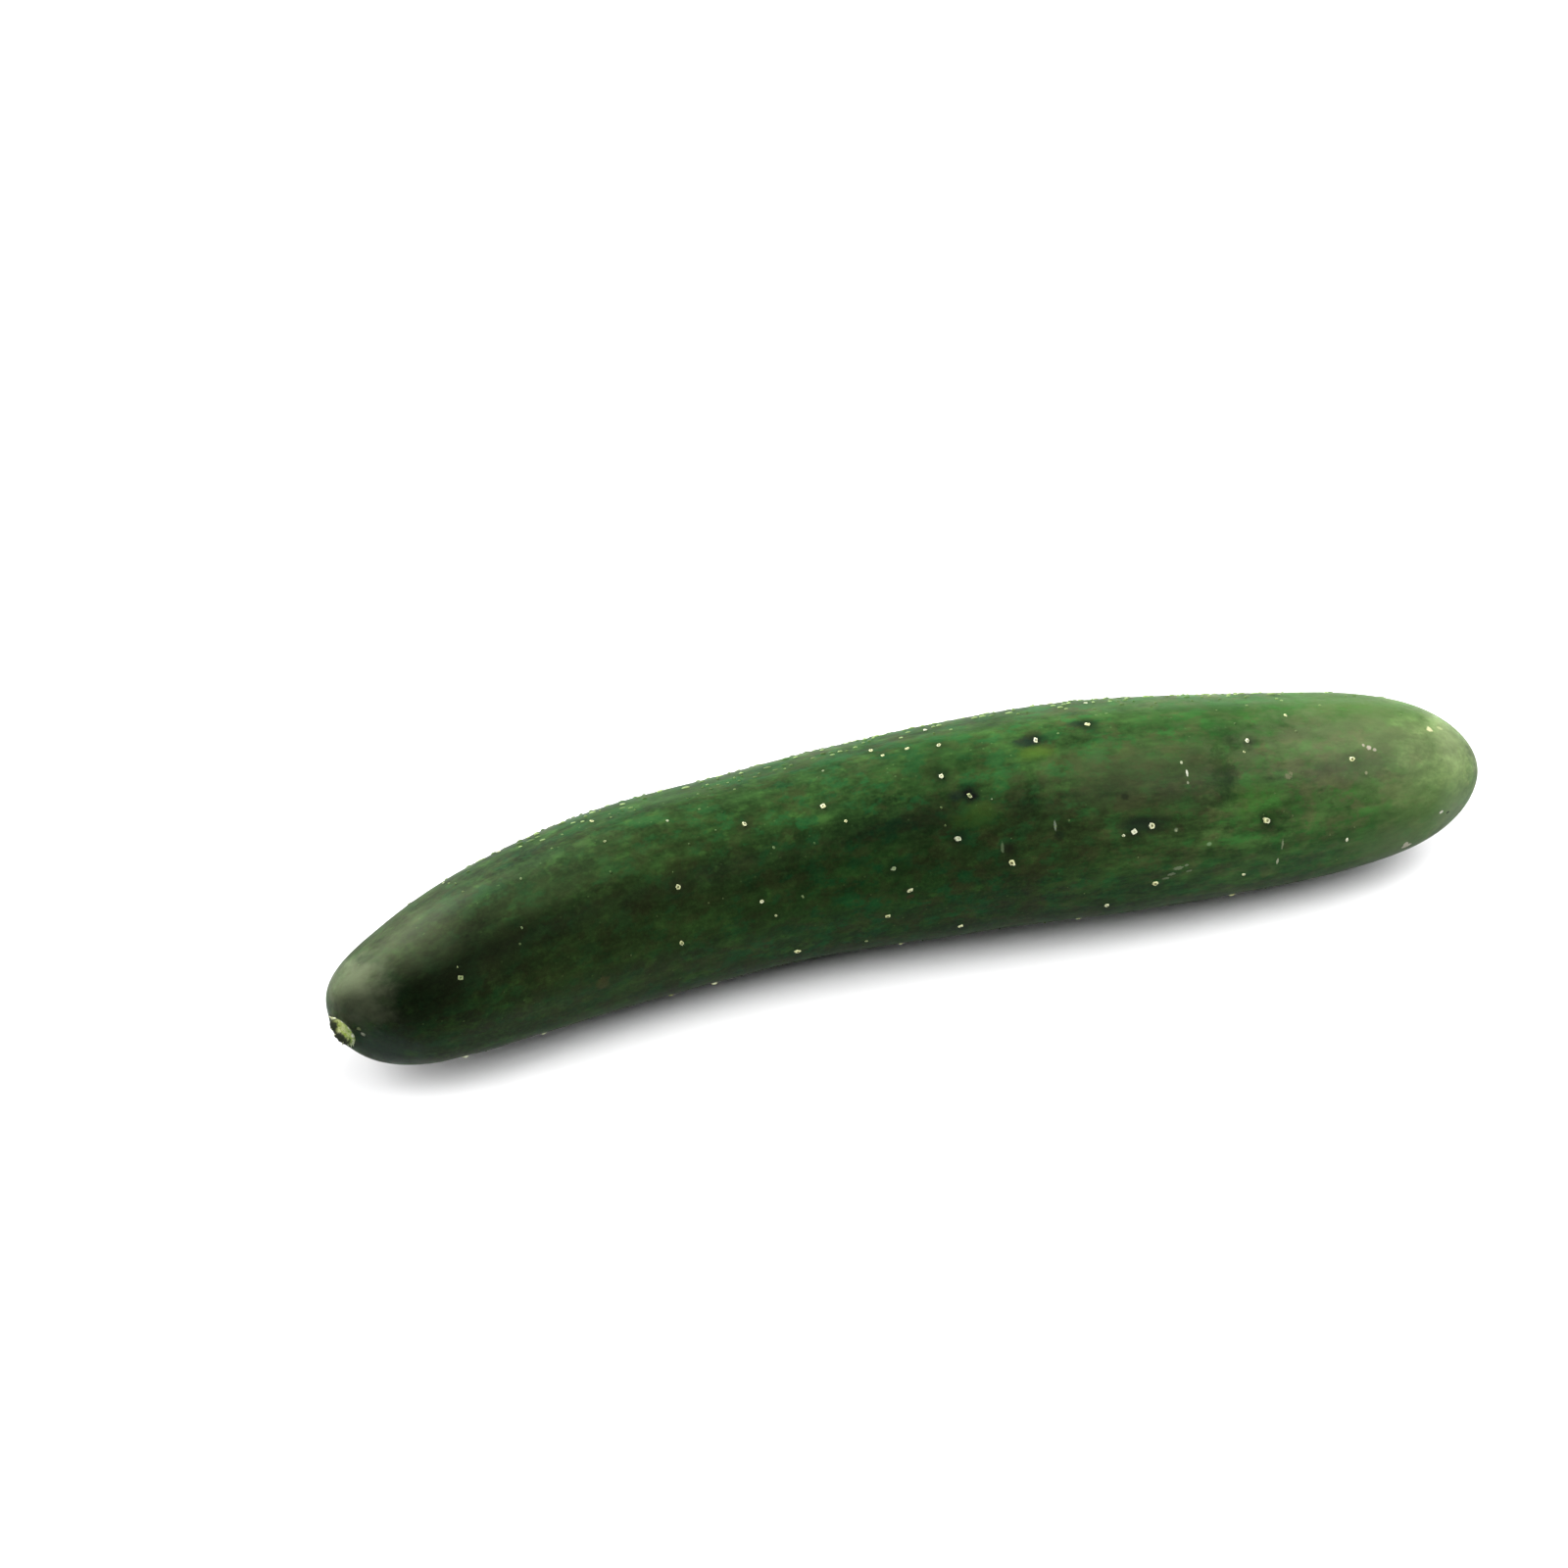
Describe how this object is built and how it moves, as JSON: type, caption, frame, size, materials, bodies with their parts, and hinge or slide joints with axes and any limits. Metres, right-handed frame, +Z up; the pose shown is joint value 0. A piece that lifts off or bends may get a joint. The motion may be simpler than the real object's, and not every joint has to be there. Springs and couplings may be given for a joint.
{
  "type": "cucumber",
  "caption": "Whole fresh slicing cucumber, long and slightly bent, with low ribs, small pale warts and a torn stem scar, lying on its belly.",
  "frame": {"origin": "on the surface it lies on, under the middle of its box", "axes": "+X along the fruit from the stem end to the blossom end, +Y across it on its level, away from the side its warts are known on, +Z up"},
  "size_m": [0.2364, 0.049, 0.0432],
  "materials": {
    "skin": "waxy dark green skin with paler streaks, lighter towards the blossom end",
    "spine_base": "dry pale cream tip on each wart",
    "stem_scar": "torn fibrous yellow-green tissue, brown at the edge",
    "blossom_scar": "small dry tan scar"
  },
  "bodies": {
    "root": {"cucumber": "skin"}
  },
  "joints": []
}
